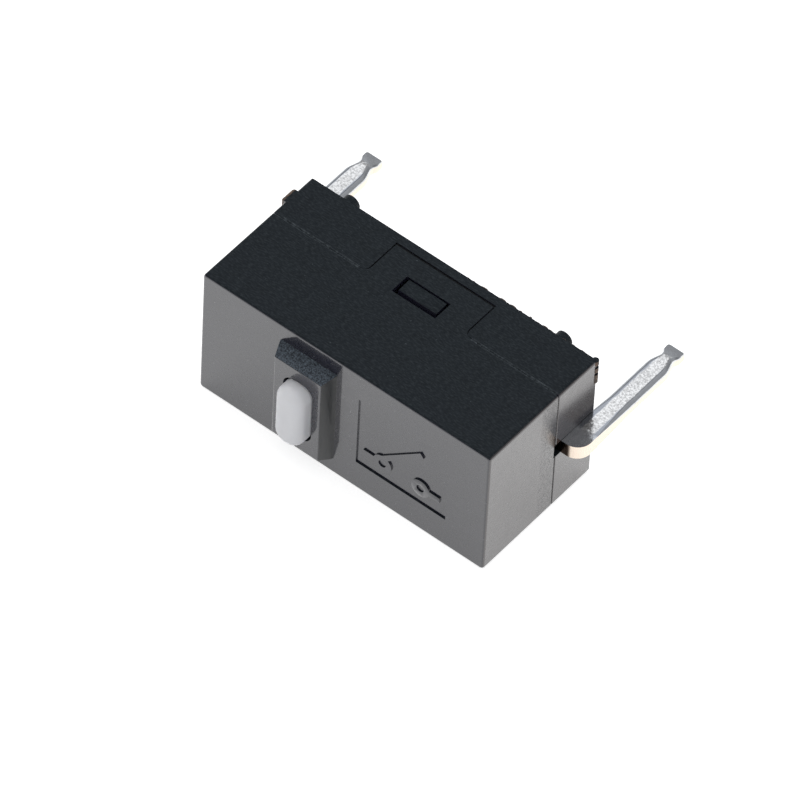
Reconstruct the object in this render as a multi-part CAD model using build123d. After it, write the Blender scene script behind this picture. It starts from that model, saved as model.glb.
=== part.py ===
from build123d import *
from math import radians, sin
import os

# A subminiature snap-action switch. Each piece is drawn with the switch standing on its base:
# X runs along the case, Y across it and Z towards the plunger, from the middle of the base's
# underside. lay_down() then turns the finished pieces onto their side.

# Case
case_length = 12.8        # over the end walls
case_width = 6.0          # over the side walls
case_height = 5.9         # base underside to cover top face
parting_height = 2.1      # where cover and base meet
case_corner = 0.15        # radius of the upright corners
top_edge = 0.1            # radius round the cover's top face
parting_bevel = 0.04      # bevel on both sides of the parting line
end_wall = 0.75
side_wall = 0.7           # also the thickness of the clips
roof = 0.8
fit_gap = 0.05            # between the base and what the cover puts round it

# Base
rim_height = 0.6          # upstand that plugs into the cover
rim_wall = 0.55
tray_floor = 1.2          # height of the floor inside
foot_radius = 0.33
foot_height = 0.3
foot_pitch = 9.5          # along the case
foot_inset = 0.36         # foot centre to the side face
gate_low = 0.8            # stub left by the moulding gate, at one corner of the end wall
gate_height = 0.67
gate_width = 0.7
gate_proud = 0.18
gate_round = 0.15
flash_radius = 0.13       # beads of flash on the opposite lower corner
flash_places = [(0.14, 0.2), (0.5, 0.2), (0.95, 0.42)]  # from the side face, length

# Clips that hold the cover down
clip_width = 4.35
clip_foot = 0.47          # height of the clip's lower end
clip_end_gap = 0.1
clip_root = 0.3           # radius beside the clip's root
window_width = 1.94
window_low = 1.34
window_high = 2.2
latch_gap = 0.04          # above and below the latch
latch_end = 0.13          # gap at each of its ends
latch_proud = 0.7
latch_slope = 0.03        # fall of its face towards the lead-in
latch_nose = 0.2          # length of the steep lead-in above it
latch_lead = 0.25         # how far the lead-in's upper end stands proud

# Collar and plunger
plunger_offset = 1.56     # plunger axis to the middle of the case, towards the common terminal
collar_shift = 0.04       # collar's middle beyond that axis
collar_along = 2.55
collar_across = 4.5
collar_height = 0.6
collar_draft = 22.0       # degrees
collar_corner = 0.06
collar_edge = 0.045       # radius round its rim
plunger_along = 1.22
plunger_across = 2.8
plunger_round = 0.55      # radius of its ends seen from above
plunger_crown = 0.4       # radius round its top
plunger_travel = 0.5
plunger_left = 0.16       # still above the collar when pressed
plunger_play = 0.05       # to the hole, on each side
hole_corner = 0.48
flange_lip = 0.4
flange_thickness = 0.5
flange_gap = 0.05         # under the roof when free
leg_along = 0.6
leg_inner = 0.62          # half the gap between the two legs
leg_outer = 1.4

# Sunk panel on the cover's top face, with a contact symbol standing in it
panel_low = (0.65, -1.63)  # along the case, across it
panel_high = (4.65, 1.72)
panel_depth = 0.06
symbol_line = 0.24
symbol_ring = 0.4         # outer radius of each ring
symbol_lead = 0.45        # straight line beside each ring
symbol_margin = 0.3       # to the panel's ends
symbol_level = -0.85      # the rings' place across the case
symbol_lift = 1.75        # rise of the lever

# Terminals: flat stampings that stand on edge across the case's middle
strip = 0.6               # metal thickness
leg_width = 0.93
groove_depth = 0.1        # grooves down the end walls behind the legs
common_inset = 0.04       # how deep each leg sits in its groove
contact_inset = 0.08
leg_drop = 4.22           # below the base
leg_top = 1.8             # upper edge, also inside the case
leg_shoulder = 0.6        # radius of the outer upper corner
arm_low = 0.95
neck_width = 0.57
neck_start = 3.15         # distances below the base
neck_low = 3.68
head_start = 3.88
head_width = 0.76
head_round = 0.08
pinch_start = 3.55
pinch_depth = 0.13        # taken off each face at the leg's tip
strip_roll = 0.22         # rounding left by the punch along the leg
roll_start = 0.8          # height where it begins
roll_whole = -0.9         # height where it reaches that radius
shear_edge = 0.02         # radius where it begins
strip_seat = 0.02         # clearance beside the strips in the base's slots
slot_depth = 0.4          # how deep the inner plates stand in the floor
cover_notch = 0.08        # relief in the cover over each terminal slot

# Snap mechanism
post_outer = 4.6          # from the middle of the case to the post's far edge
post_width = 1.5
post_head = 0.55          # post above the blade's pivot
pivot_height = 3.35
brace_drop = 0.6          # the tongue's notch below the pivot
notch_depth = 0.2
notch_floor = 0.18
notch_mouth = 0.5
blade_sheet = 0.1
blade_width = 2.6
blade_rail = 0.52
blade_hook = 0.65         # crossbar behind the post
blade_tip = 1.5           # width at the free end
blade_play = 0.02
blade_rest = 1.5          # degrees above level when free
blade_swing = 3.0         # degrees from free to pressed
tongue_width = 1.0
tongue_root = 6.9         # from the pivot
tongue_sag = 1.1
contact_reach = 8.6       # pivot to contact
contact_end = 0.5         # blade beyond the contact
bar_length = 1.3
bar_width = 0.5
moving_bar = 0.28         # contact heights
fixed_bar = 0.35
contact_play = 0.01
plate_reach = 1.0         # contact terminal's plate past its contact
stop_along = 0.9
stop_across = 1.6

half_length = case_length / 2
half_width = case_width / 2
recess_face = half_width - side_wall - fit_gap
roof_under = case_height - roof
collar_top = case_height + collar_height
pivot_x = notch_depth - post_outer
contact_x = pivot_x + contact_reach
plate_end = half_length - end_wall - rim_wall - fit_gap
plunger_proud = plunger_travel + plunger_left


def slab(length, width, low, high, corner):
    """Upright rounded block centred on the case."""
    return extrude(Plane.XY.offset(low) * RectangleRounded(length, width, corner), high - low)


def box_between(x, y, z):
    """Box from its low and high values along each axis."""
    size = [high - low for low, high in (x, y, z)]
    return Pos(*[(low + high) / 2 for low, high in (x, y, z)]) * Box(*size)


def blade_height(reach, angle):
    """Height of the blade's middle plane at a distance from its pivot."""
    return pivot_height + reach * sin(radians(angle))


def plate_outline(points, thickness=strip):
    """Flat stamping from an outline in the case's middle plane."""
    return extrude(make_face(Plane.XZ * Polyline(*points, close=True)), thickness / 2, both=True)


def clip_block(gap, foot):
    """Clip at +Y with its rounded roots, grown by a gap."""
    half = clip_width / 2 + gap
    ear = half + 2 * clip_root
    top = parting_height + side_wall
    outline = make_face(Plane.XZ * Polyline(
        (-ear, top), (-ear, parting_height), (-half, parting_height), (-half, foot),
        (half, foot), (half, parting_height), (ear, parting_height), (ear, top), close=True))
    block = extrude(outline, side_wall + gap)
    upright = block.edges().filter_by(Axis.Y)
    level = upright.filter_by_position(Axis.Z, parting_height - 0.01, parting_height + 0.01)
    roots = level.filter_by_position(Axis.X, -half - 0.01, half + 0.01)
    return Pos(0, half_width, 0) * fillet(roots, clip_root - gap)


def on_both_sides(piece):
    """A piece at +Y and its mirror image at -Y."""
    return piece + mirror(piece, Plane.XZ)


def contact_symbol():
    """Open contact: two rings on short leads, with a lever rising from the first."""
    middle = (panel_low[0] + panel_high[0]) / 2
    outer_end = (panel_high[0] - panel_low[0]) / 2 - symbol_margin
    spread = outer_end - symbol_lead - symbol_ring
    along_ring = symbol_ring - symbol_line / 2
    lead = symbol_lead + symbol_line / 2
    symbol = Sketch()
    for side in (-1, 1):
        symbol += Pos(side * (outer_end - lead / 2), 0) * Rectangle(lead, symbol_line)
        symbol += Pos(side * spread, 0) * (Circle(symbol_ring) - Circle(symbol_ring - symbol_line))
    symbol += trace(Line((-spread, along_ring), (spread, symbol_lift)), symbol_line)
    symbol = Pos(middle, symbol_level) * symbol
    return extrude(Pos(0, 0, case_height - 2 * panel_depth) * symbol, 2 * panel_depth)


def collar():
    """Drafted rib that stands round the plunger's hole."""
    foot = Pos(-plunger_offset - collar_shift, 0, case_height) * RectangleRounded(
        collar_along, collar_across, collar_corner)
    rib = extrude(foot, collar_height, taper=collar_draft)
    return fillet(rib.faces().sort_by(Axis.Z)[-1].edges(), collar_edge)


def cover():
    body = slab(case_length, case_width, parting_height, case_height, case_corner)
    body = fillet(body.faces().sort_by(Axis.Z)[-1].edges(), top_edge)
    body = chamfer(body.faces().sort_by(Axis.Z)[0].edges(), parting_bevel)
    body += collar()
    body += on_both_sides(clip_block(0, clip_foot))
    body -= box_between(*zip(panel_low, panel_high), (case_height - panel_depth, collar_top))
    body += contact_symbol()
    body -= slab(case_length - 2 * end_wall, case_width - 2 * side_wall,
                 parting_height - side_wall, roof_under, case_corner)
    body -= box_between((-window_width / 2, window_width / 2), (-case_width, case_width),
                        (window_low, window_high))
    hole = Pos(-plunger_offset, 0, roof_under) * RectangleRounded(
        plunger_along + 2 * plunger_play, plunger_across + 2 * plunger_play, hole_corner)
    body -= extrude(hole, roof + collar_height)
    notch = strip / 2 + strip_seat
    body -= box_between((-case_length, case_length), (-notch, notch),
                        (parting_height, parting_height + cover_notch))
    stop_face = blade_height(contact_reach, blade_rest) + blade_sheet / 2 + contact_play
    body += box_between((contact_x - stop_along / 2, contact_x + stop_along / 2),
                        (-stop_across / 2, stop_across / 2), (stop_face, roof_under))
    return body


def latch():
    """Wedge that fills the clip's window: sloped above, square below."""
    low = window_low + latch_gap
    high = window_high - latch_gap
    width = window_width - 2 * latch_end
    face = make_face(Plane.YZ * Polyline(
        (recess_face, low), (recess_face + latch_proud, low),
        (recess_face + latch_proud - latch_slope, high - latch_nose),
        (recess_face + latch_lead, high), (recess_face, high), close=True))
    return extrude(face, width / 2, both=True)


def terminal_slots():
    """Room for both terminals: arms through the end walls, plates stood in the tray's floor."""
    half = strip / 2 + strip_seat
    groove = half_length - groove_depth
    room = box_between((groove, case_length), (-half, half), (-case_height, case_height))
    room += mirror(room, Plane.YZ)
    room += box_between((-case_length, -post_outer), (-half, half), (arm_low, case_height))
    room += box_between((contact_x, case_length), (-half, half), (arm_low, case_height))
    plates = [(-post_outer, post_width - post_outer), (contact_x - plate_reach, plate_end)]
    for low, high in plates:
        room += box_between((low - strip_seat, high + strip_seat), (-half, half),
                            (tray_floor - slot_depth, case_height))
    return room


def base():
    body = slab(case_length, case_width, 0, parting_height, case_corner)
    body = chamfer(body.faces().sort_by(Axis.Z)[-1].edges(), parting_bevel)
    rim_length = case_length - 2 * (end_wall + fit_gap)
    body += slab(rim_length, 2 * recess_face, tray_floor, parting_height + rim_height, case_corner)
    recess = clip_block(fit_gap, clip_foot - clip_end_gap)
    recess &= box_between((-case_length, case_length), (0, case_width), (0, parting_height))
    body -= on_both_sides(recess)
    body -= slab(rim_length - 2 * rim_wall, 2 * (recess_face - rim_wall),
                 tray_floor, case_height, case_corner)
    body -= terminal_slots()
    body += on_both_sides(latch())
    feet = GridLocations(foot_pitch, case_width - 2 * foot_inset, 2, 2)
    foot = Pos(0, 0, -foot_height / 2) * Cylinder(foot_radius, foot_height)
    body += [place * foot for place in feet]
    gate = box_between((-half_length - gate_proud, -half_length + case_corner),
                       (half_width - gate_width, half_width), (gate_low, gate_low + gate_height))
    body += fillet(gate.faces().sort_by(Axis.X)[0].edges(), gate_round)
    for inset, length in flash_places:
        bead = Rot(X=90) * Cylinder(flash_radius, length)
        body += Pos(half_length - case_corner / 2, half_width - inset, 0) * bead
    return body


def plunger():
    tip = collar_top + plunger_proud
    flange_top = roof_under - flange_gap
    flange_low = flange_top - flange_thickness
    stem = extrude(Pos(0, 0, flange_low) * RectangleRounded(
        plunger_along, plunger_across, plunger_round), tip - flange_low)
    stem = fillet(stem.faces().sort_by(Axis.Z)[-1].edges(), plunger_crown)
    stem += extrude(Pos(0, 0, flange_low) * RectangleRounded(
        plunger_along + 2 * flange_lip, plunger_across + 2 * flange_lip, plunger_round),
        flange_thickness)
    reach = -plunger_offset - pivot_x
    leg_low = blade_height(reach, blade_rest) + blade_sheet / 2 + blade_play
    leg = box_between((-leg_along / 2, leg_along / 2), (leg_inner, leg_outer),
                      (leg_low, flange_low))
    leg = fillet(leg.faces().sort_by(Axis.Z)[0].edges().filter_by(Axis.Y), leg_along / 3)
    return Pos(-plunger_offset, 0, 0) * (stem + on_both_sides(leg))


def pinch():
    """Wedge taken off the leg's +Y face at its tip."""
    face = make_face(Plane.YZ * Polyline(
        (strip / 2, -pinch_start), (strip / 2 - pinch_depth, -leg_drop),
        (strip, -leg_drop), (strip, -pinch_start), close=True))
    return Pos(half_length + leg_width / 2) * extrude(face, leg_width, both=True)


def corners_at(piece, height):
    """A stamping's corners at one height, from low X to high X."""
    found = piece.edges().filter_by(Axis.Y)
    return found.filter_by_position(Axis.Z, height - 0.01, height + 0.01).sort_by(Axis.X)


def shank(inner, outer):
    """The leg below its shoulder: edges rolled by the punch, necked and pinched at the tip."""
    middle = (inner + outer) / 2
    right = [(outer, roll_whole), (outer, -neck_start), (middle + neck_width / 2, -neck_low),
             (middle + head_width / 2, -head_start), (middle + head_width / 2, -leg_drop)]
    leg = plate_outline(right + [(2 * middle - x, z) for x, z in reversed(right)])
    leg = fillet(corners_at(leg, -neck_start), leg_width)
    leg = fillet(corners_at(leg, -neck_low), neck_width / 2)
    leg = fillet(corners_at(leg, -leg_drop), head_round)
    faces = leg.faces().sort_by(Axis.Y)
    rims = faces[0].edges() + faces[-1].edges()
    leg = fillet(rims.filter_by_position(Axis.Z, -leg_drop - 0.01, roll_whole - 0.01), strip_roll)
    sections = [Pos(middle, 0, height) * RectangleRounded(leg_width, strip, corner)
                for height, corner in ((roll_start, shear_edge), (roll_whole, strip_roll))]
    return loft(sections) + leg - on_both_sides(pinch())


def terminal_leg(inset):
    """Outer part of the terminal at +X, from inside the end wall down to its flared head."""
    inner = half_length - inset
    outer = inner + leg_width
    top = plate_outline([(inner - end_wall, leg_top), (outer, leg_top), (outer, roll_start),
                         (inner, roll_start), (inner, arm_low), (inner - end_wall, arm_low)])
    top = fillet(corners_at(top, leg_top)[-1], leg_shoulder)
    return top + shank(inner, outer)


def notch(x, z, side):
    """Trapezium cut into the post's edge, open towards side."""
    floor, mouth = notch_floor / 2, notch_mouth / 2
    out = x + side * notch_depth
    return plate_outline([(x, z - floor), (out, z - mouth), (out, z + mouth), (x, z + floor)],
                         2 * strip)


def common_terminal():
    inner = post_width - post_outer
    low = tray_floor - slot_depth
    post = plate_outline([(-half_length + end_wall / 2, arm_low), (-post_outer, arm_low),
                          (-post_outer, low), (inner, low), (inner, pivot_height + post_head),
                          (-post_outer, pivot_height + post_head), (-post_outer, leg_top),
                          (-half_length + end_wall / 2, leg_top)])
    post -= notch(pivot_x, pivot_height, -1)
    post -= notch(inner - notch_depth, pivot_height - brace_drop, 1)
    return mirror(terminal_leg(common_inset), Plane.YZ) + post


def contact_seat():
    """Height of the contact terminal's upper edge, under the fixed contact."""
    closed = blade_height(contact_reach, blade_rest - blade_swing) - blade_sheet / 2
    return closed - moving_bar - contact_play - fixed_bar


def contact_terminal():
    inner = contact_x - plate_reach
    outer = half_length - end_wall / 2
    low = tray_floor - slot_depth
    plate = plate_outline([(outer, arm_low), (plate_end, arm_low), (plate_end, low), (inner, low),
                           (inner, contact_seat()), (plate_end, contact_seat()),
                           (plate_end, leg_top), (outer, leg_top)])
    return terminal_leg(contact_inset) + plate


def bar(width, length, height):
    """Contact bar along Y with a rounded back, standing on Z = 0."""
    side = height - width / 4
    face = make_face(Plane.XZ * (
        Polyline((-width / 2, side), (-width / 2, 0), (width / 2, 0), (width / 2, side))
        + ThreePointArc((width / 2, side), (0, height), (-width / 2, side))))
    return extrude(face, length / 2, both=True)


def fixed_contact():
    return Pos(contact_x, 0, contact_seat()) * Rot(Z=90) * bar(strip, bar_length, fixed_bar)


def on_blade(piece):
    """Puts a piece drawn from the blade's pivot where the blade rests."""
    return Pos(pivot_x, 0, pivot_height) * Rot(Y=-blade_rest) * piece


def moving_contact():
    return on_blade(Pos(contact_reach, 0, -blade_sheet / 2) * Rot(X=180)
                    * bar(bar_width, bar_length, moving_bar))


def snap_blade():
    end = contact_reach + contact_end
    frame = make_face(Polyline(
        (-blade_hook, -blade_width / 2), (tongue_root, -blade_width / 2), (end, -blade_tip / 2),
        (end, blade_tip / 2), (tongue_root, blade_width / 2), (-blade_hook, blade_width / 2),
        close=True))
    frame = fillet(frame.vertices(), blade_sheet * 2)
    opening = blade_width - 2 * blade_rail
    frame -= Pos((tongue_root - blade_play) / 2, 0) * Rectangle(tongue_root + blade_play, opening)
    frame = extrude(frame, blade_sheet / 2, both=True)
    brace = post_width - 2 * notch_depth + 3 * blade_play
    tongue = Line((tongue_root + blade_rail, 0), (tongue_root, 0)) + ThreePointArc(
        (tongue_root, 0), ((tongue_root + brace) / 2, -tongue_sag), (brace, -brace_drop))
    tongue = make_face(offset(Plane.XZ * tongue, blade_sheet / 2))
    return on_blade(frame + extrude(tongue, tongue_width / 2, both=True))


def lay_down(piece):
    """Turns a piece onto its side: plunger towards -Y, the case's middle over the origin."""
    return Pos(0, case_height / 2, half_width) * Rot(X=90) * piece


NODES = {
    "cover": cover,
    "base": base,
    "plunger": plunger,
    "common_terminal": common_terminal,
    "contact_terminal": contact_terminal,
    "fixed_contact": fixed_contact,
    "snap_blade": snap_blade,
    "moving_contact": moving_contact,
}

os.makedirs("parts", exist_ok=True)
for name, make in NODES.items():
    export_step(lay_down(make()), f"parts/{name}.step")
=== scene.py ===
"""Finishes for a subminiature snap-action switch, built round its CAD frame."""

import math
import random

import bmesh
import bpy
from bpy.props import FloatProperty, FloatVectorProperty, IntProperty, PointerProperty
from mathutils import Matrix, Vector


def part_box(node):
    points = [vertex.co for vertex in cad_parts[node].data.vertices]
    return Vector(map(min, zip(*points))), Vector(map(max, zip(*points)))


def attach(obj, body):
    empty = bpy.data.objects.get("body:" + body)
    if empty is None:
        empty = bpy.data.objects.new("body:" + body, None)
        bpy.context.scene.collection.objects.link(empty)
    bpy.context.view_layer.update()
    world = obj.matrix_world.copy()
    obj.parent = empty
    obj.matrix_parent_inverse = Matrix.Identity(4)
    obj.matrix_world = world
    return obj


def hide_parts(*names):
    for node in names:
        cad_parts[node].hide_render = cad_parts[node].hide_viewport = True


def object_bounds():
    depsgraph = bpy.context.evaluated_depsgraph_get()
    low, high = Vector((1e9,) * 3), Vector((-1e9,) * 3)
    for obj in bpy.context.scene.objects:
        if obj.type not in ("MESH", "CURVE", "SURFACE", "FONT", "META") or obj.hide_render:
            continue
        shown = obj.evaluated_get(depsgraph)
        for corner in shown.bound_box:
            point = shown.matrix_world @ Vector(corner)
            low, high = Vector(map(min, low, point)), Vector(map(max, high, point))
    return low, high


bl_info = {
    "name": "Micro Switch Finishes",
    "version": (1, 0, 0),
    "blender": (4, 5, 0),
    "location": "3D View > Sidebar > Micro Switch",
    "description": "Dresses the CAD pieces of a small snap-action switch and sets its studio",
    "category": "Object",
}

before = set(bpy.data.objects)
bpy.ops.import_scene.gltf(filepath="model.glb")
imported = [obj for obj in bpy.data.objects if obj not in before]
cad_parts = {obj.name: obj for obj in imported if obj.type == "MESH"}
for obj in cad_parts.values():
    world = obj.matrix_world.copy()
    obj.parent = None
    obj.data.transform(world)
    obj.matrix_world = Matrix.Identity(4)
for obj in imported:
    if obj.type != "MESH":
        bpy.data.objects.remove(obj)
CAD_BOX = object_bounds()
MM = 0.001

# Where the case's faces lie, from the boxes of its two halves and the sizes that stand proud
COVER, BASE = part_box("cover"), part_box("base")
FOOT = 0.3 * MM           # the feet, behind the base's back face
RIM = 0.6 * MM            # the base's upstand inside the cover
COLLAR = 0.6 * MM         # the collar, in front of the cover's face
BACK_FACE = BASE[1].y - FOOT
PARTING = BASE[0].y + RIM
FRONT_FACE = COVER[0].y + COLLAR
END_FACE = COVER[1].x
LEG_MIDDLE = (END_FACE + CAD_BOX[1].x) / 2  # of the strip of a leg that stands past the end face
LEG_HALF = (CAD_BOX[1].x - END_FACE) / 2  # half of that strip's width
CLIP = 2.175 * MM         # half of each clip's width
CLIP_ROOT = 0.3 * MM      # the radius at its root
CLIP_END = 0.47 * MM      # from the back face to the clip's end
CLIP_GAP = 0.1 * MM       # beyond the clip's end
SCUFFED_BAND = 0.9 * MM   # of the cover's end faces, beside the parting line
FLASH_FROM = 0.6 * MM     # where the crumbs of flash start along the back edge
FLASH_TO = 6.0 * MM       # and where they end
KEY_SIDE = Vector((-0.45, 0.5, 0.74))  # towards the large soft light
CLOTH_SIDE = Vector((-0.35, 0.51, 0.78))  # towards the middle of the cloth it lights

# A face looks along an axis when this much of its unit normal lies along it
FACING = 0.7

# The finishes in the order in which their materials are listed
SATIN, MATTE, COARSE, DRAWN, FLASH, POLISHED, HAZY, SCUFFED = range(8)
PLATED, PUNCHED = range(2)


# ---------------------------------------------------------------- small helpers

def linear(hex_colour):
    """An sRGB hex colour as linear RGBA."""
    parts = [int(hex_colour[i:i + 2], 16) / 255 for i in (1, 3, 5)]
    return [c / 12.92 if c <= 0.04045 else ((c + 0.055) / 1.055) ** 2.4 for c in parts] + [1.0]


def per_mm(size_mm):
    """Scale of a texture whose features are this many millimetres across."""
    return 1.0 / (size_mm * MM)


def add_node(tree, kind, settings=None, **inputs):
    """Adds a node, sets its properties and fills or links its inputs by name or index."""
    node = tree.nodes.new(kind)
    for name, value in (settings or {}).items():
        setattr(node, name, value)
    for name, value in inputs.items():
        socket = node.inputs[int(name[1:])] if name[0] == "i" and name[1:].isdigit() \
            else node.inputs[name.replace("_", " ")]
        if isinstance(value, bpy.types.NodeSocket):
            tree.links.new(value, socket)
        else:
            socket.default_value = value
    return node


def new_material(name):
    """An empty node material and its Principled shader, already wired to the output."""
    material = bpy.data.materials.new(name)
    material.use_nodes = True
    tree = material.node_tree
    return material, tree, tree.nodes["Principled BSDF"]


def axis_of(tree, output, axis):
    """One part of a texture coordinate, such as the Y of Object."""
    place = add_node(tree, "ShaderNodeTexCoord")
    return add_node(tree, "ShaderNodeSeparateXYZ", Vector=place.outputs[output]).outputs[axis]


def grain(tree, size_mm, detail=2.0, roughness=0.5, stretch=(1, 1, 1)):
    """Noise on Object coordinates with features of a real size, from 0 to 1."""
    place = add_node(tree, "ShaderNodeTexCoord")
    turned = add_node(tree, "ShaderNodeMapping", Vector=place.outputs["Object"], Scale=stretch)
    return add_node(tree, "ShaderNodeTexNoise", Vector=turned.outputs[0], Scale=per_mm(size_mm),
                    Detail=detail, Roughness=roughness).outputs["Fac"]


def ranged(tree, value, low, high, from_low=0.3, from_high=0.7):
    """Maps a pattern's middle range onto low to high, clamped."""
    return add_node(tree, "ShaderNodeMapRange", Value=value, From_Min=from_low,
                    From_Max=from_high, To_Min=low, To_Max=high).outputs[0]


def maths(tree, operation, first, second=0.0):
    """One sum on one or two values."""
    return add_node(tree, "ShaderNodeMath", {"operation": operation}, i0=first,
                    i1=second).outputs[0]


def bump(tree, height, depth_mm, under=None):
    """A bump of a real depth, over another bump if one is given."""
    node = add_node(tree, "ShaderNodeBump", Strength=1.0, Distance=depth_mm * MM, Height=height)
    if under is not None:
        tree.links.new(under, node.inputs["Normal"])
    return node.outputs[0]


def facets(tree, size_mm, lean):
    """Normals that lean at random by up to half of lean, crystal by crystal of a real size."""
    place = add_node(tree, "ShaderNodeTexCoord").outputs["Object"]
    cells = add_node(tree, "ShaderNodeTexVoronoi", Vector=place, Scale=per_mm(size_mm))
    level = add_node(tree, "ShaderNodeVectorMath", {"operation": "SUBTRACT"},
                     i0=cells.outputs["Color"], i1=(0.5, 0.5, 0.5)).outputs[0]
    tilt = add_node(tree, "ShaderNodeVectorMath", {"operation": "SCALE"}, i0=level,
                    Scale=lean).outputs[0]
    upright = add_node(tree, "ShaderNodeNewGeometry").outputs["Normal"]
    return add_node(tree, "ShaderNodeVectorMath", {"operation": "ADD"}, i0=upright,
                    i1=tilt).outputs[0]


def mixed(tree, factor, first, second):
    """A colour between two, each a colour or a node's output."""
    return add_node(tree, "ShaderNodeMix", {"data_type": "RGBA"}, i0=factor, i6=first,
                    i7=second).outputs[2]


def shades(tree, pattern, colour, spread):
    """A colour that wanders this share darker and lighter with a pattern."""
    darker, lighter = ([min(part * gain, 1.0) for part in colour[:3]] + [1.0]
                       for gain in (1 - spread, 1 + spread))
    return mixed(tree, pattern, darker, lighter)


# ---------------------------------------------------------------- materials

def glossy_case_plastic(name, colour, coat_ior, haze):
    """Black glass-filled PBT from a polished mould face: a smooth skin that mirrors pale things."""
    material, tree, shader = new_material(name)
    skin = shades(tree, grain(tree, 0.9, 3), colour, 0.25)
    scuffs = ranged(tree, grain(tree, 0.09, 1), 0, 0.5, 0.76, 0.8)
    tree.links.new(mixed(tree, scuffs, skin, linear("#B0B2B6")), shader.inputs["Base Color"])
    shader.inputs["IOR"].default_value = 1.5
    shader.inputs["Specular IOR Level"].default_value = 0.2
    shader.inputs["Coat Weight"].default_value = 1.0
    shader.inputs["Coat Roughness"].default_value = haze
    shader.inputs["Coat IOR"].default_value = coat_ior
    tree.links.new(ranged(tree, grain(tree, 0.35, 4), 0.22, 0.34), shader.inputs["Roughness"])
    waves = bump(tree, grain(tree, 0.6, 2), 0.0015)
    tree.links.new(bump(tree, grain(tree, 0.07, 3), 0.0008, under=waves), shader.inputs["Normal"])
    return material


def satin_case_plastic(settings):
    """The front and the back of the case."""
    return glossy_case_plastic("pbt_black_satin_skin", settings.satin_colour, 1.66, 0.06)


def polished_case_plastic(settings):
    """The cover's end faces: the case's black painted lighter and browner for the brighter light
    they show, and mirroring more strongly.
    """
    return glossy_case_plastic("pbt_black_polished_skin", settings.end_colour_painted_lighter, 1.78, 0.06)


def hazy_case_plastic(settings):
    """The base's end faces: as the cover's, painted lighter and browner, but hazier."""
    return glossy_case_plastic("pbt_black_hazy_skin", settings.end_colour_painted_lighter, 1.78, 0.2)


def scuffed_case_plastic(settings):
    """The cover's end faces beside the parting line: painted lighter and browner as the other ends,
    hazy, and pitted towards the line.
    """
    material = glossy_case_plastic("pbt_black_scuffed_skin", settings.end_colour_painted_lighter, 1.78, 0.22)
    tree = material.node_tree
    shader = tree.nodes["Principled BSDF"]
    from_line = maths(tree, "SUBTRACT", PARTING, axis_of(tree, "Object", "Y"))
    wear_and_edge_shade = ranged(tree, from_line, 1, 0, 0.3 * MM, SCUFFED_BAND)
    pits = ranged(tree, grain(tree, 0.16, 4, 0.7), 0, 1, 0.5, 0.6)
    smooth = shader.inputs["Normal"].links[0].from_socket
    tree.links.new(bump(tree, maths(tree, "MULTIPLY", pits, wear_and_edge_shade), 0.08, under=smooth),
                   shader.inputs["Normal"])
    return material


def matte_case_plastic(settings):
    """The same black PBT from spark-eroded mould faces: a fine dry grain with a few pale scuffs."""
    material, tree, shader = new_material("pbt_black_spark_grain")
    skin = shades(tree, grain(tree, 0.5, 4), settings.matte_colour, 0.25)
    streaks = ranged(tree, grain(tree, 0.05, 3, stretch=(0.3, 1, 1)), 0, 0.16, 0.45, 0.8)
    spots = ranged(tree, grain(tree, 0.11, 1), 0, 0.4, 0.78, 0.83)
    # Burrs rubbed pale along the parting line
    past_line = maths(tree, "SUBTRACT", axis_of(tree, "Object", "Y"), PARTING)
    off_line = maths(tree, "ABSOLUTE", past_line)
    beside = ranged(tree, off_line, 1, 0, 0.04 * MM, 0.07 * MM)
    off_middle = maths(tree, "ABSOLUTE", axis_of(tree, "Object", "X"))
    off_clip = ranged(tree, off_middle, 0, 1, CLIP + CLIP_ROOT, CLIP + 1.2 * CLIP_ROOT)
    rubbed = ranged(tree, grain(tree, 0.12, 2), 0.12, 0.5, 0.4, 0.7)
    burrs = maths(tree, "MULTIPLY", maths(tree, "MULTIPLY", beside, off_clip), rubbed)
    pale = maths(tree, "MAXIMUM", maths(tree, "MAXIMUM", streaks, spots), burrs)
    tree.links.new(mixed(tree, pale, skin, linear("#6E767C")), shader.inputs["Base Color"])
    shader.inputs["IOR"].default_value = 1.5
    shader.inputs["Specular IOR Level"].default_value = 0.12
    tree.links.new(ranged(tree, grain(tree, 0.2, 3), 0.5, 0.62), shader.inputs["Roughness"])
    tree.links.new(bump(tree, grain(tree, 0.06, 3), 0.005), shader.inputs["Normal"])
    return material


def coarse_case_plastic():
    """Black PBT with the coarser eroded grain of the collar's walls: its pits painted pale
    blue-grey as painted glints.
    """
    material, tree, shader = new_material("pbt_black_coarse_grain")
    speck = grain(tree, 0.055, 3, 0.6)
    pits = ranged(tree, speck, 0, 1, 0.35, 0.78)
    # Painted glints: the pale blue-grey of the pits stands in for the light they catch
    colour = mixed(tree, pits, linear("#22272D"), linear("#75818E"))
    tree.links.new(colour, shader.inputs["Base Color"])
    shader.inputs["Specular IOR Level"].default_value = 0.35
    shader.inputs["Roughness"].default_value = 0.4
    tree.links.new(bump(tree, speck, 0.025), shader.inputs["Normal"])
    return material


def drawn_case_plastic():
    """Black PBT dragged from the mould on the collar's drafted sides: dull, with upright lines."""
    material, tree, shader = new_material("pbt_black_drawn_sides")
    lines = grain(tree, 0.08, 3, stretch=(1, 1, 0.12))
    colour = mixed(tree, ranged(tree, lines, 0, 1), linear("#121416"), linear("#26292C"))
    tree.links.new(colour, shader.inputs["Base Color"])
    shader.inputs["IOR"].default_value = 1.5
    shader.inputs["Specular IOR Level"].default_value = 0.3
    shader.inputs["Coat Weight"].default_value = 0.6
    shader.inputs["Coat Roughness"].default_value = 0.12
    tree.links.new(ranged(tree, lines, 0.35, 0.55), shader.inputs["Roughness"])
    tree.links.new(bump(tree, lines, 0.004), shader.inputs["Normal"])
    return material


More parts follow.
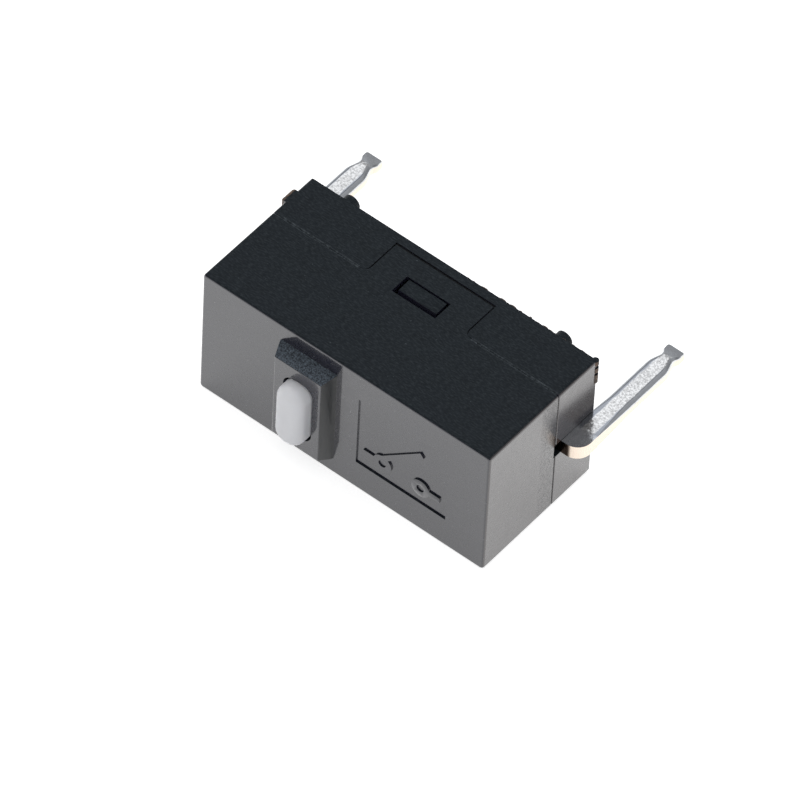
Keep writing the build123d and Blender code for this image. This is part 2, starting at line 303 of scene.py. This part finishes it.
def flash_plastic():
    """Thin black PBT flash, mottled paler and browner than the case."""
    material, tree, shader = new_material("pbt_thin_flash")
    fibres = ranged(tree, grain(tree, 0.1, 3), 0, 1)
    colour = mixed(tree, fibres, linear("#2A2522"), linear("#7A6250"))
    tree.links.new(colour, shader.inputs["Base Color"])
    shader.inputs["Roughness"].default_value = 0.55
    tree.links.new(bump(tree, grain(tree, 0.07, 3), 0.01), shader.inputs["Normal"])
    return material


def gap_shade_material():
    """Painted shade for the gaps round the clips: a dry, soft dark grey, not black."""
    material, tree, shader = new_material("dark_sheet_for_gap_shade")
    clots = grain(tree, 0.08, 3)
    colour = mixed(tree, ranged(tree, clots, 0, 1), linear("#0B0D0F"), linear("#22262A"))
    tree.links.new(colour, shader.inputs["Base Color"])
    shader.inputs["Roughness"].default_value = 0.8
    tree.links.new(bump(tree, clots, 0.01), shader.inputs["Normal"])
    return material


def plunger_plastic(settings):
    """White acetal: dense, slightly waxy and softly see-through at its edges."""
    material, tree, shader = new_material("acetal_white_moulded")
    tree.links.new(shades(tree, grain(tree, 0.4, 3), settings.plunger_colour, 0.03),
                   shader.inputs["Base Color"])
    shader.inputs["IOR"].default_value = 1.48
    shader.inputs["Subsurface Weight"].default_value = 0.3
    shader.inputs["Subsurface Radius"].default_value = (1.0, 0.95, 0.9)
    shader.inputs["Subsurface Scale"].default_value = 0.2 * MM
    tree.links.new(ranged(tree, grain(tree, 0.12, 3), 0.34, 0.46), shader.inputs["Roughness"])
    tree.links.new(bump(tree, grain(tree, 0.08, 2), 0.0012), shader.inputs["Normal"])
    return material


def tin_plate(settings):
    """Bright tin plate: frosty crystals with painted glints down the middle of the legs' flats, and
    bands of painted shade along their rolled-over edges.
    """
    material, tree, shader = new_material("bronze_bright_tin_plate")
    shader.inputs["Metallic"].default_value = 0.92
    ragged = maths(tree, "MULTIPLY", grain(tree, 0.15, 3), 0.05)
    upward = maths(tree, "ABSOLUTE", axis_of(tree, "Normal", "Z"))
    flat = ranged(tree, maths(tree, "ADD", upward, ragged), 0, 1, 0.975, 1.0)
    along = axis_of(tree, "Object", "Y")
    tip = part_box("common_terminal")[1].y
    outside = ranged(tree, along, 0, 1, BACK_FACE - 1.0 * MM, BACK_FACE - 0.8 * MM)
    below_head = ranged(tree, along, 1, 0, tip - 0.6 * MM, tip - 0.45 * MM)
    across = maths(tree, "ABSOLUTE", axis_of(tree, "Object", "X"))
    off_middle = maths(tree, "ABSOLUTE", maths(tree, "SUBTRACT", across, LEG_MIDDLE))
    edge = maths(tree, "ADD", off_middle, maths(tree, "MULTIPLY", grain(tree, 0.2, 3), 0.1 * MM))
    rolled = ranged(tree, edge, 0, 1, 0.62 * LEG_HALF, 0.74 * LEG_HALF)
    leg = maths(tree, "MULTIPLY", flat, maths(tree, "MULTIPLY", outside, below_head))
    # Painted shade: a darker grey band along each rolled-over edge of the flats
    painted_edge_bands = maths(tree, "MULTIPLY", leg, rolled)
    frosted = maths(tree, "SUBTRACT", leg, painted_edge_bands)
    speck = ranged(tree, grain(tree, 0.08, 3, 0.6), 0, 1, 0.35, 0.6)
    smooth = shades(tree, ranged(tree, grain(tree, 0.3, 4), 0, 1), settings.tin_colour, 0.06)
    wear_and_edge_shade = mixed(tree, painted_edge_bands, smooth, linear("#96999E"))
    # Painted glints: the crystals down the middle of the flats are speckled light and dark
    frost_painted_glints = mixed(tree, speck, linear("#B2B1AF"), linear("#E9E8E5"))
    tree.links.new(mixed(tree, frosted, wear_and_edge_shade, frost_painted_glints), shader.inputs["Base Color"])
    tree.links.new(ranged(tree, frosted, 0.16, 0.2, 0, 1), shader.inputs["Roughness"])
    crystals = facets(tree, 0.09, maths(tree, "MULTIPLY", frosted, 0.1))
    tree.links.new(bump(tree, grain(tree, 0.25, 2), 0.006, under=crystals),
                   shader.inputs["Normal"])
    return material


def punched_bronze(settings):
    """Phosphor bronze laid bare by the punch: pale and warm, with lines across the cut."""
    material, tree, shader = new_material("bronze_punched_bare")
    shader.inputs["Metallic"].default_value = 1.0
    lines = grain(tree, 0.05, 2, stretch=(1, 1, 0.1))
    # Painted shade: dark brown where the cut sides sit in the slots at the ends of the case and
    # mirror its dark walls, bare bronze outside the slots and behind the case
    reach = maths(tree, "ABSOLUTE", axis_of(tree, "Object", "X"))
    clear = ranged(tree, reach, 0, 1, END_FACE + 0.3 * MM, END_FACE + 0.42 * MM)
    behind = ranged(tree, axis_of(tree, "Object", "Y"), 0, 1,
                    BACK_FACE - 0.5 * MM, BACK_FACE - 0.3 * MM)
    unshaded = maths(tree, "MAXIMUM", clear, behind)
    bright = shades(tree, lines, settings.bronze_colour, 0.04)
    colour = mixed(tree, unshaded, linear("#4A3A30"), bright)
    tree.links.new(colour, shader.inputs["Base Color"])
    tree.links.new(ranged(tree, lines, 0.2, 0.34), shader.inputs["Roughness"])
    tree.links.new(bump(tree, lines, 0.001), shader.inputs["Normal"])
    return material


def spring_copper(settings):
    """Rolled beryllium copper strip: warm, fine lines along its length."""
    material, tree, shader = new_material("beryllium_copper_rolled")
    shader.inputs["Metallic"].default_value = 1.0
    lines = grain(tree, 0.04, 2, stretch=(0.08, 1, 1))
    tree.links.new(shades(tree, lines, settings.spring_colour, 0.1), shader.inputs["Base Color"])
    tree.links.new(ranged(tree, lines, 0.22, 0.36), shader.inputs["Roughness"])
    tree.links.new(bump(tree, lines, 0.001), shader.inputs["Normal"])
    return material


def contact_silver(settings):
    """Fine silver alloy contact bar, softly burnished."""
    material, tree, shader = new_material("silver_alloy_burnished")
    shader.inputs["Metallic"].default_value = 1.0
    rubbed = grain(tree, 0.08, 3)
    tree.links.new(shades(tree, rubbed, settings.silver_colour, 0.06), shader.inputs["Base Color"])
    tree.links.new(ranged(tree, rubbed, 0.18, 0.3), shader.inputs["Roughness"])
    tree.links.new(bump(tree, rubbed, 0.001), shader.inputs["Normal"])
    return material


# ---------------------------------------------------------------- refined copies of CAD pieces

def merged_copy(node_name, piece_name):
    """A CAD node's shape as a clean mesh: joined triangles, flat regions dissolved."""
    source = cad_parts[node_name].data
    mesh = bpy.data.meshes.new(piece_name)
    shape = bmesh.new()
    shape.from_mesh(source)
    bmesh.ops.remove_doubles(shape, verts=shape.verts, dist=0.0005 * MM)
    bmesh.ops.dissolve_limit(shape, angle_limit=math.radians(0.5), verts=shape.verts,
                             edges=shape.edges, use_dissolve_boundaries=False)
    shape.to_mesh(mesh)
    shape.free()
    piece = bpy.data.objects.new(piece_name, mesh)
    bpy.context.scene.collection.objects.link(piece)
    mesh.materials.clear()
    return piece


def part_end_faces(piece, line):
    """Cuts the end faces of a piece along one line across them, at this distance along Y."""
    shape = bmesh.new()
    shape.from_mesh(piece.data)
    ends = [face for face in shape.faces if abs(face.normal.x) > 0.99
            and abs(face.calc_center_median().x) > END_FACE - 0.01 * MM]
    around = {part for face in ends for part in (*face.edges, *face.verts)}
    # A set has no order of its own: edges first, then corners, each by number
    ordered = sorted(around, key=lambda part: (isinstance(part, bmesh.types.BMVert), part.index))
    bmesh.ops.bisect_plane(shape, geom=ends + ordered, plane_co=(0, line, 0),
                           plane_no=(0, 1, 0), dist=0.0001 * MM)
    shape.to_mesh(piece.data)
    shape.free()


def closes_on_end(edge):
    """True for edges where the two halves meet on an end face: they shut without a gap."""
    return all(abs(v.co.x) > END_FACE - 0.1 * MM and abs(v.co.y - PARTING) < 0.02 * MM
               for v in edge.verts)


def soften_edges(piece, radius):
    """Breaks the sharp edges of a piece by a small radius, inside the CAD model's box."""
    sharp_angle = math.radians(25)
    shape = bmesh.new()
    shape.from_mesh(piece.data)
    sharp = [e for e in shape.edges
             if len(e.link_faces) == 2 and e.calc_face_angle(0) > sharp_angle
             and not closes_on_end(e)]
    bmesh.ops.bevel(shape, geom=sharp, offset=radius, offset_type="OFFSET", segments=2,
                    profile=0.5, affect="EDGES", clamp_overlap=True, material=-1)
    for vert in shape.verts:
        for axis in range(3):
            vert.co[axis] = min(max(vert.co[axis], CAD_BOX[0][axis]), CAD_BOX[1][axis])
    shape.to_mesh(piece.data)
    shape.free()


def shade_by_angle(piece, degrees):
    """Smooth shading except over edges sharper than this, led by the largest faces."""
    shape = bmesh.new()
    shape.from_mesh(piece.data)
    for face in shape.faces:
        face.smooth = True
    for edge in shape.edges:
        edge.smooth = len(edge.link_faces) == 2 and edge.calc_face_angle(0) < math.radians(degrees)
    shape.to_mesh(piece.data)
    shape.free()
    even = piece.modifiers.new("even_normals", "WEIGHTED_NORMAL")
    even.weight = 100
    even.keep_sharp = True


def paint(piece, materials, choose):
    """Gives each face of a piece the material whose place in the list choose returns."""
    for material in materials:
        piece.data.materials.append(material)
    for face in piece.data.polygons:
        face.material_index = choose(face.normal, face.center)


def case_finish(normal, centre):
    """Which finish a face of the case has, from the way it looks and where its middle is."""
    end_depth = 0.2 * MM
    if abs(centre.x) > END_FACE + 0.005 * MM:
        return FLASH
    if abs(normal.x) > FACING and abs(centre.x) > END_FACE - end_depth:
        if centre.y > PARTING:
            return HAZY
        return SCUFFED if centre.y > PARTING - SCUFFED_BAND else POLISHED
    on_collar = centre.y < FRONT_FACE - 0.005 * MM
    if abs(normal.z) > FACING:
        return COARSE if on_collar else MATTE
    if on_collar and abs(normal.x) > FACING:
        return DRAWN
    return MATTE if centre.y > BACK_FACE + 0.01 * MM else SATIN


def strip_finish(normal, centre):
    """Which finish a face of a terminal has: plated on its flats, bare where it was punched."""
    return PUNCHED if abs(normal.z) < 0.3 else PLATED


# ---------------------------------------------------------------- settings

class StudioSettings(bpy.types.PropertyGroup):
    azimuth: FloatProperty(
        name="Camera Azimuth", description="Turn of the camera round the switch",
        default=math.radians(36.75), subtype="ANGLE")
    elevation: FloatProperty(
        name="Camera Elevation", description="Height of the camera above the table",
        default=math.radians(49.91), subtype="ANGLE")
    roll: FloatProperty(
        name="Camera Roll", description="Tilt of the camera about its own axis",
        default=math.radians(3.19), subtype="ANGLE")
    distance: FloatProperty(
        name="Camera Distance", description="From the middle of the case to the camera",
        default=372.4 * MM, unit="LENGTH")
    lens: FloatProperty(
        name="Focal Length", description="Lens of the camera, in millimetres", default=481.7)
    aim: FloatVectorProperty(
        name="Aim", description="Aim point right of and above the middle of the case",
        size=2, default=(0.122 * MM, -0.944 * MM), unit="LENGTH")
    key_power: FloatProperty(
        name="Key Light", description="Power of the large soft light", default=0.23, unit="POWER")
    fill: FloatProperty(
        name="Fill", description="Strength of the even light from all round", default=0.6)
    table_glow: FloatProperty(
        name="Table Glow", description="What the lit table adds to its own white", default=0.72)
    tent_grey: FloatProperty(
        name="Tent Grey", description="How bright gloss sees the walls round the switch",
        default=0.45)
    panel_white: FloatProperty(
        name="Panel White", description="How bright gloss sees the cloth in front of the lamp",
        default=1.35)


class FinishSettings(bpy.types.PropertyGroup):
    case_edge: FloatProperty(
        name="Case Edge", description="Radius on the case's sharp edges",
        default=0.02 * MM, unit="LENGTH")
    # Depth of the dark grey sheet of painted shade in the gaps round the clips
    gap_sheet_depth: FloatProperty(
        name="Gap Sheet Depth", description="How far below the side faces the packed dust lies",
        default=0.07 * MM, unit="LENGTH")
    crumb_size: FloatProperty(
        name="Crumb Size", description="Largest crumb of moulding flash",
        default=0.26 * MM, unit="LENGTH")
    crumb_count: IntProperty(
        name="Crumb Count", description="Crumbs along the back edge", default=20, min=1)
    crumb_seed: IntProperty(
        name="Crumb Seed", description="Another number scatters the crumbs anew", default=4)
    satin_colour: FloatVectorProperty(
        name="Satin Plastic", description="Front and back of the case",
        size=4, default=linear("#1E1E2B"), subtype="COLOR")
    # Painted light: the end faces' black, lighter and browner than the front's for the brighter
    # light the ends show
    end_colour_painted_lighter: FloatVectorProperty(
        name="End Plastic", description="End faces of the case",
        size=4, default=linear("#332A2C"), subtype="COLOR")
    matte_colour: FloatVectorProperty(
        name="Matte Plastic", description="Side faces of the case",
        size=4, default=linear("#20262B"), subtype="COLOR")
    plunger_colour: FloatVectorProperty(
        name="Plunger", description="White acetal", size=4, default=linear("#F2F3F8"),
        subtype="COLOR")
    tin_colour: FloatVectorProperty(
        name="Tin", description="Plate on the flats of the terminals", size=4,
        default=linear("#D6D8DA"), subtype="COLOR")
    bronze_colour: FloatVectorProperty(
        name="Bronze", description="Punched sides of the terminals", size=4,
        default=linear("#F2E2D2"), subtype="COLOR")
    spring_colour: FloatVectorProperty(
        name="Spring", description="Snap blade", size=4, default=linear("#C38351"),
        subtype="COLOR")
    silver_colour: FloatVectorProperty(
        name="Silver", description="Contacts", size=4, default=linear("#E7E5DF"),
        subtype="COLOR")


# ---------------------------------------------------------------- operators

class MICROSWITCH_OT_stage(bpy.types.Operator):
    """Set the table, the soft lights and the camera"""
    bl_idname = "microswitch.stage"
    bl_label = "Stage"

    def execute(self, context):
        settings = context.scene.micro_switch_studio
        self.make_world(context, settings)
        self.make_table(context, settings)
        self.make_lights(context, settings)
        self.make_tent(context, settings)
        self.make_camera(context, settings)
        context.scene.view_settings.view_transform = "Standard"
        return {"FINISHED"}

    @staticmethod
    def seen_directly(tree):
        """1 for rays from the camera, off gloss and through glass, 0 for the rest."""
        rays = add_node(tree, "ShaderNodeLightPath")
        seen = rays.outputs["Is Camera Ray"]
        for name in ("Is Glossy Ray", "Is Transmission Ray"):
            seen = maths(tree, "MAXIMUM", seen, rays.outputs[name])
        return seen

    @staticmethod
    def add_stage_piece(context, name, shape, material):
        """Links a piece of the studio, which isn't part of the switch."""
        mesh = bpy.data.meshes.new(name)
        shape.to_mesh(mesh)
        shape.free()
        mesh.materials.append(material)
        piece = bpy.data.objects.new(name, mesh)
        context.scene.collection.objects.link(piece)
        return piece

    def make_world(self, context, settings):
        world = bpy.data.worlds.new("soft_studio")
        world.use_nodes = True
        tree = world.node_tree
        back = tree.nodes["Background"]
        back.inputs["Color"].default_value = (1, 1, 1, 1)
        strength = ranged(tree, self.seen_directly(tree), settings.fill, 1.0,
                          from_low=0.0, from_high=1.0)
        tree.links.new(strength, back.inputs["Strength"])
        context.scene.world = world

    def make_table(self, context, settings):
        """A pale table: white where it is lit, with a faint shadow under the switch."""
        reach = 3.0
        height = CAD_BOX[0].z - 0.002 * MM
        shape = bmesh.new()
        bmesh.ops.create_grid(shape, x_segments=1, y_segments=1, size=reach)
        bmesh.ops.translate(shape, verts=shape.verts, vec=(0, 0, height))
        material, tree, shader = new_material("matte_white_card")
        shader.inputs["Base Color"].default_value = linear("#F2F2F2")
        shader.inputs["Roughness"].default_value = 0.9
        shader.inputs["Emission Color"].default_value = (1, 1, 1, 1)
        tree.links.new(maths(tree, "MULTIPLY", self.seen_directly(tree), settings.table_glow),
                       shader.inputs["Emission Strength"])
        self.add_stage_piece(context, "table", shape, material)

    def make_lights(self, context, settings):
        """One large soft lamp, which gloss doesn't see."""
        lamp_size, lamp_distance = 0.26, 0.30
        centre = (CAD_BOX[0] + CAD_BOX[1]) / 2
        toward = KEY_SIDE.normalized()
        data = bpy.data.lights.new("key_softbox", "AREA")
        data.shape = "SQUARE"
        data.size = lamp_size
        data.energy = settings.key_power
        lamp = bpy.data.objects.new("key_softbox", data)
        lamp.location = centre + toward * lamp_distance
        lamp.rotation_euler = toward.to_track_quat("Z", "Y").to_euler()
        lamp.visible_glossy = False
        context.scene.collection.objects.link(lamp)

    def make_tent(self, context, settings):
        """Grey cloth walls that only gloss sees: white where the lamp shines through them."""
        radius = 0.6
        shape = bmesh.new()
        bmesh.ops.create_uvsphere(shape, u_segments=48, v_segments=24, radius=radius)
        material, tree, shader = new_material("grey_tent_cloth")
        shader.inputs["Base Color"].default_value = (0, 0, 0, 1)
        shader.inputs["Specular IOR Level"].default_value = 0
        shader.inputs["Emission Color"].default_value = linear("#F6F9FF")
        along = axis_of(tree, "Object", "Y")
        # Dark in front of the switch, pale behind it, and pale again at the far front
        rising = ranged(tree, along, 0.14, 1.0, -0.3 * radius, 0.3 * radius)
        far_front = ranged(tree, along, 0.6, 0, -0.65 * radius, -0.45 * radius)
        depth = maths(tree, "MAXIMUM", rising, far_front)
        width = ranged(tree, axis_of(tree, "Object", "X"), 1.25 * settings.tent_grey,
                       0.8 * settings.tent_grey, -radius, radius)
        place = add_node(tree, "ShaderNodeTexCoord").outputs["Object"]
        off_panel = add_node(tree, "ShaderNodeVectorMath", {"operation": "DISTANCE"}, i0=place,
                             i1=CLOTH_SIDE.normalized() * radius).outputs["Value"]
        panel = ranged(tree, off_panel, settings.panel_white, 0, 0.18 * radius, 0.26 * radius)
        far_back = ranged(tree, along, 1, 0.6, 0.55 * radius, 0.8 * radius)
        grey = maths(tree, "MULTIPLY", maths(tree, "MULTIPLY", depth, width), far_back)
        tree.links.new(maths(tree, "MAXIMUM", grey, panel), shader.inputs["Emission Strength"])
        tent = self.add_stage_piece(context, "tent", shape, material)
        for rays in ("camera", "diffuse", "shadow", "transmission", "volume_scatter"):
            setattr(tent, "visible_" + rays, False)

    def make_camera(self, context, settings):
        a, e = settings.azimuth, settings.elevation
        back = Vector((math.sin(a) * math.cos(e), -math.cos(a) * math.cos(e), math.sin(e)))
        level = Vector((math.cos(a), math.sin(a), 0))
        up = back.cross(level)
        right = math.cos(settings.roll) * level + math.sin(settings.roll) * up
        up = back.cross(right)
        middle = Vector((0, 0, (COVER[0].z + COVER[1].z) / 2))
        data = bpy.data.cameras.new("camera")
        data.lens = settings.lens
        data.sensor_width = 36
        data.clip_start, data.clip_end = 0.01, 10
        camera = bpy.data.objects.new("camera", data)
        turn = Matrix((right, up, back)).transposed().to_4x4()
        place = middle + right * settings.aim[0] + up * settings.aim[1] + back * settings.distance
        camera.matrix_world = Matrix.Translation(place) @ turn
        context.scene.collection.objects.link(camera)
        context.scene.camera = camera


class MICROSWITCH_OT_case(bpy.types.Operator):
    """Finish the cover and the base in black moulded plastic"""
    bl_idname = "microswitch.case"
    bl_label = "Case"

    def execute(self, context):
        settings = context.scene.micro_switch_finish
        materials = [satin_case_plastic(settings), matte_case_plastic(settings),
                     coarse_case_plastic(), drawn_case_plastic(), flash_plastic(),
                     polished_case_plastic(settings), hazy_case_plastic(settings),
                     scuffed_case_plastic(settings)]
        for node_name in ("cover", "base"):
            piece = merged_copy(node_name, "moulded_" + node_name)
            part_end_faces(piece, PARTING - SCUFFED_BAND)
            soften_edges(piece, settings.case_edge)
            paint(piece, materials, case_finish)
            shade_by_angle(piece, 60)
            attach(piece, "case")
            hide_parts(node_name)
        return {"FINISHED"}


class MICROSWITCH_OT_gap_sheet(bpy.types.Operator):
    """Lay a dark grey sheet of painted shade in the gaps round the clips, a little below the side
    faces
    """
    bl_idname = "microswitch.dust"
    bl_label = "Gap Sheet"

    def execute(self, context):
        settings = context.scene.micro_switch_finish
        lap = 0.5 * CLIP_GAP
        thickness = 0.3 * settings.gap_sheet_depth
        end = BACK_FACE - CLIP_END
        strips = [((-CLIP - lap, CLIP + lap), (end - lap, end + CLIP_GAP + lap)),
                  ((-CLIP - lap, -CLIP + lap), (PARTING, end)),
                  ((CLIP - lap, CLIP + lap), (PARTING, end))]
        mesh = bpy.data.meshes.new("gap_shade_sheet")
        shape = bmesh.new()
        for height in (COVER[0].z + settings.gap_sheet_depth, COVER[1].z - settings.gap_sheet_depth):
            for (left, right), (near, far) in strips:
                middle = Vector(((left + right) / 2, (near + far) / 2, height))
                size = Matrix.Diagonal((right - left, far - near, thickness, 1))
                bmesh.ops.create_cube(shape, size=1, matrix=Matrix.Translation(middle) @ size)
        shape.to_mesh(mesh)
        shape.free()
        piece = bpy.data.objects.new("gap_shade_sheet", mesh)
        context.scene.collection.objects.link(piece)
        mesh.materials.append(gap_shade_material())
        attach(piece, "case")
        return {"FINISHED"}


class MICROSWITCH_OT_crumbs(bpy.types.Operator):
    """Leave crumbs of moulding flash along the case's back edge"""
    bl_idname = "microswitch.crumbs"
    bl_label = "Crumbs"

    def execute(self, context):
        settings = context.scene.micro_switch_finish
        chance = random.Random(settings.crumb_seed)
        sink = 0.25 * settings.crumb_size
        stretch, dent = 2.6, 0.12
        start = Vector((FLASH_FROM, BACK_FACE, CAD_BOX[1].z - sink))
        end = Vector((FLASH_TO, BACK_FACE, CAD_BOX[1].z - sink))
        mesh = bpy.data.meshes.new("flash_crumbs")
        shape = bmesh.new()
        for step in range(settings.crumb_count):
            place = start.lerp(end, (step + chance.random()) / settings.crumb_count)
            length, width = (chance.uniform(0.2, 0.7) * settings.crumb_size * long
                             for long in (stretch, 1.0))
            lump = Matrix.Diagonal((length, width, 2 * sink, 1))
            bmesh.ops.create_icosphere(shape, subdivisions=2, radius=0.5,
                                       matrix=Matrix.Translation(place) @ lump)
        for vert in shape.verts:
            vert.co += vert.normal * dent * sink * chance.uniform(-1, 0)
        shape.to_mesh(mesh)
        shape.free()
        piece = bpy.data.objects.new("flash_crumbs", mesh)
        context.scene.collection.objects.link(piece)
        mesh.materials.append(flash_plastic())
        shade_by_angle(piece, 60)
        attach(piece, "case")
        return {"FINISHED"}


class MICROSWITCH_OT_plunger(bpy.types.Operator):
    """Finish the plunger in white acetal"""
    bl_idname = "microswitch.plunger"
    bl_label = "Plunger"

    def execute(self, context):
        settings = context.scene.micro_switch_finish
        piece = merged_copy("plunger", "moulded_plunger")
        piece.data.materials.append(plunger_plastic(settings))
        shade_by_angle(piece, 35)
        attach(piece, "plunger")
        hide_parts("plunger")
        return {"FINISHED"}


class MICROSWITCH_OT_terminals(bpy.types.Operator):
    """Finish both terminals in bright tin plate, bare on their punched sides"""
    bl_idname = "microswitch.terminals"
    bl_label = "Terminals"

    def execute(self, context):
        settings = context.scene.micro_switch_finish
        materials = [tin_plate(settings), punched_bronze(settings)]
        for node_name in ("common_terminal", "contact_terminal"):
            piece = merged_copy(node_name, "tinned_" + node_name)
            paint(piece, materials, strip_finish)
            shade_by_angle(piece, 30)
            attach(piece, "case")
            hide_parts(node_name)
        return {"FINISHED"}


class MICROSWITCH_OT_mechanism(bpy.types.Operator):
    """Finish the snap blade and the contacts inside the case"""
    bl_idname = "microswitch.mechanism"
    bl_label = "Mechanism"

    def execute(self, context):
        settings = context.scene.micro_switch_finish
        copper, silver = spring_copper(settings), contact_silver(settings)
        for node_name, material in (("snap_blade", copper), ("moving_contact", silver),
                                    ("fixed_contact", silver)):
            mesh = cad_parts[node_name].data
            mesh.materials.clear()
            mesh.materials.append(material)
        return {"FINISHED"}


class MICROSWITCH_PT_panel(bpy.types.Panel):
    """Lists the steps that finish the switch"""
    bl_idname = "MICROSWITCH_PT_panel"
    bl_label = "Micro Switch"
    bl_space_type = "VIEW_3D"
    bl_region_type = "UI"
    bl_category = "Micro Switch"

    def draw(self, context):
        column = self.layout.column()
        for group in (context.scene.micro_switch_studio, context.scene.micro_switch_finish):
            for name in group.__annotations__:
                column.prop(group, name)
        for operator in OPERATORS:
            column.operator(operator.bl_idname)


OPERATORS = (MICROSWITCH_OT_stage, MICROSWITCH_OT_case, MICROSWITCH_OT_gap_sheet,
             MICROSWITCH_OT_crumbs, MICROSWITCH_OT_plunger, MICROSWITCH_OT_terminals,
             MICROSWITCH_OT_mechanism)
CLASSES = (StudioSettings, FinishSettings) + OPERATORS + (MICROSWITCH_PT_panel,)


def register():
    for cls in CLASSES:
        bpy.utils.register_class(cls)
    bpy.types.Scene.micro_switch_studio = PointerProperty(type=StudioSettings)
    bpy.types.Scene.micro_switch_finish = PointerProperty(type=FinishSettings)


def unregister():
    del bpy.types.Scene.micro_switch_finish
    del bpy.types.Scene.micro_switch_studio
    for cls in reversed(CLASSES):
        bpy.utils.unregister_class(cls)


def main():
    register()
    bpy.ops.microswitch.stage()
    bpy.ops.microswitch.case()
    bpy.ops.microswitch.dust()
    bpy.ops.microswitch.crumbs()
    bpy.ops.microswitch.plunger()
    bpy.ops.microswitch.terminals()
    bpy.ops.microswitch.mechanism()


if __name__ == "__main__":
    main()
